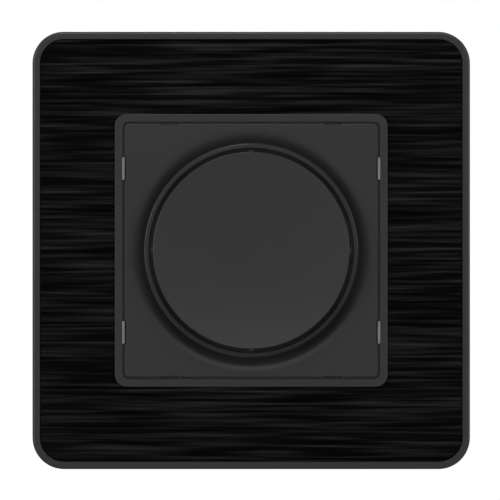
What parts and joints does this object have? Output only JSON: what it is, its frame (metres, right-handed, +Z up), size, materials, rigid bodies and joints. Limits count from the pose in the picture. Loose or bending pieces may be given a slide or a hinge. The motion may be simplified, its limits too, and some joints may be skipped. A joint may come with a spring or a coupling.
{
  "type": "rotary dimmer switch",
  "caption": "Flush rotary dimmer: square frame with brushed metal inlay, bezel, dished cover plate, push-and-turn knob, and the insert with support plate, claws and screw terminals.",
  "frame": {"origin": "on the knob's axis at the wall plane, where the support plate's rear face lies", "axes": "+Z up, +X to the right as seen from the room, +Y into the wall, so the front looks along -Y"},
  "size_m": [0.086, 0.0444, 0.086],
  "materials": {
    "anthracite_plastic": "moulded anthracite plastic, fine matt grain",
    "black_anodised": "black anodised, brushed sideways",
    "spring_steel": "bright rolled strip and wire",
    "zinc_plated": "zinc plated steel",
    "nickel_brass": "turned brass, nickel plated",
    "brass": "pressed brass",
    "housing_plastic": "moulded light grey plastic",
    "black_plastic": "moulded black plastic",
    "track_laminate": "brown laminate with a carbon track",
    "board_laminate": "green lacquered laminate",
    "ferrite": "sintered ferrite",
    "copper_wire": "enamelled copper wire",
    "film_capacitor": "yellow potted case",
    "glass_tube": "clear glass",
    "resistor_paint": "beige lacquer",
    "aluminium": "bent sheet"
  },
  "bodies": {
    "base": {"outer_frame": "anthracite_plastic", "bezel": "anthracite_plastic", "cover_plate": "anthracite_plastic", "brushed_inlay": "black_anodised", "clip_left_upper": "spring_steel", "clip_left_lower": "spring_steel", "clip_right_upper": "spring_steel", "clip_right_lower": "spring_steel", "switch_spring": "spring_steel", "support_plate": "zinc_plated", "bush_nut": "zinc_plated", "bush_washer": "zinc_plated", "housing_screws": "zinc_plated", "transistor_screw": "zinc_plated", "pot_bush": "nickel_brass", "switch_contacts": "brass", "current_bars": "brass", "fuse_clips": "brass", "housing_lid": "housing_plastic", "housing_cup": "housing_plastic", "pot_body": "black_plastic", "switch_body": "black_plastic", "power_transistor": "black_plastic", "pot_track": "track_laminate", "circuit_board": "board_laminate", "choke_core": "ferrite", "choke_winding": "copper_wire", "suppression_capacitor": "film_capacitor", "timing_capacitor": "film_capacitor", "fuse": "glass_tube", "resistors": "resistor_paint", "heat_sink": "aluminium"},
    "push_rod": {"switch_plunger": "black_plastic", "switch_bridge": "brass"},
    "knob_body": {"knob": "anthracite_plastic", "knob_spring": "spring_steel", "spindle": "nickel_brass"},
    "wiper_body": {"pot_wiper": "brass"},
    "claw_screw_left": {"claw_screw_left": "zinc_plated"},
    "claw_nut_left": {"claw_nut_left": "zinc_plated"},
    "claw_left": {"claw_left": "zinc_plated"},
    "claw_screw_right": {"claw_screw_right": "zinc_plated"},
    "claw_nut_right": {"claw_nut_right": "zinc_plated"},
    "claw_right": {"claw_right": "zinc_plated"},
    "terminal_screw_1": {"terminal_screw_1": "zinc_plated"},
    "terminal_cage_1": {"terminal_cage_1": "brass"},
    "terminal_screw_2": {"terminal_screw_2": "zinc_plated"},
    "terminal_cage_2": {"terminal_cage_2": "brass"},
    "terminal_screw_3": {"terminal_screw_3": "zinc_plated"},
    "terminal_cage_3": {"terminal_cage_3": "brass"}
  },
  "joints": [
    {"name": "knob_push", "type": "slide", "parent": "base", "child": "push_rod", "axis": [0, 1, 0], "range_m": [0, 0.0012], "stiffness_N_per_m": 2000, "springref_m": -0.0008},
    {"name": "knob_turn", "type": "hinge", "parent": "push_rod", "child": "knob_body", "pos_m": [0, 0, 0], "axis": [0, 1, 0], "range_deg": [0, 300]},
    {"name": "wiper_turn", "type": "hinge", "parent": "base", "child": "wiper_body", "pos_m": [0, 0, 0], "axis": [0, 1, 0], "range_deg": [0, 300]},
    {"name": "claw_screw_left_turn", "type": "hinge", "parent": "base", "child": "claw_screw_left", "pos_m": [-0.0258, 0, 0], "axis": [0, 1, 0], "range_deg": [0, 6840]},
    {"name": "claw_nut_left_slide", "type": "slide", "parent": "base", "child": "claw_nut_left", "axis": [0, -1, 0], "range_m": [0, 0.0095]},
    {"name": "claw_left_slide", "type": "slide", "parent": "base", "child": "claw_left", "axis": [-0.3011, -0.9536, 0], "range_m": [0, 0.00996]},
    {"name": "claw_screw_right_turn", "type": "hinge", "parent": "base", "child": "claw_screw_right", "pos_m": [0.0258, 0, 0], "axis": [0, 1, 0], "range_deg": [0, 6840]},
    {"name": "claw_nut_right_slide", "type": "slide", "parent": "base", "child": "claw_nut_right", "axis": [0, -1, 0], "range_m": [0, 0.0095]},
    {"name": "claw_right_slide", "type": "slide", "parent": "base", "child": "claw_right", "axis": [0.3011, -0.9536, 0], "range_m": [0, 0.00996]},
    {"name": "terminal_screw_1_turn", "type": "hinge", "parent": "base", "child": "terminal_screw_1", "pos_m": [-0.008, 0, -0.0158], "axis": [0, -1, 0], "range_deg": [0, 1872]},
    {"name": "terminal_cage_1_slide", "type": "slide", "parent": "base", "child": "terminal_cage_1", "axis": [0, 1, 0], "range_m": [0, 0.0026]},
    {"name": "terminal_screw_2_turn", "type": "hinge", "parent": "base", "child": "terminal_screw_2", "pos_m": [0, 0, -0.0158], "axis": [0, -1, 0], "range_deg": [0, 1872]},
    {"name": "terminal_cage_2_slide", "type": "slide", "parent": "base", "child": "terminal_cage_2", "axis": [0, 1, 0], "range_m": [0, 0.0026]},
    {"name": "terminal_screw_3_turn", "type": "hinge", "parent": "base", "child": "terminal_screw_3", "pos_m": [0.008, 0, -0.0158], "axis": [0, -1, 0], "range_deg": [0, 1872]},
    {"name": "terminal_cage_3_slide", "type": "slide", "parent": "base", "child": "terminal_cage_3", "axis": [0, 1, 0], "range_m": [0, 0.0026]}
  ],
  "couplings": [
    {"joint": "wiper_turn", "follows": "knob_turn", "ratio": 1},
    {"joint": "claw_nut_left_slide", "follows": "claw_left_slide", "ratio": 0.95358},
    {"joint": "claw_screw_left_turn", "follows": "claw_left_slide", "rad_per_m": 11983},
    {"joint": "claw_nut_right_slide", "follows": "claw_right_slide", "ratio": 0.95358},
    {"joint": "claw_screw_right_turn", "follows": "claw_right_slide", "rad_per_m": 11983},
    {"joint": "terminal_screw_1_turn", "follows": "terminal_cage_1_slide", "rad_per_m": 12566},
    {"joint": "terminal_screw_2_turn", "follows": "terminal_cage_2_slide", "rad_per_m": 12566},
    {"joint": "terminal_screw_3_turn", "follows": "terminal_cage_3_slide", "rad_per_m": 12566}
  ]
}
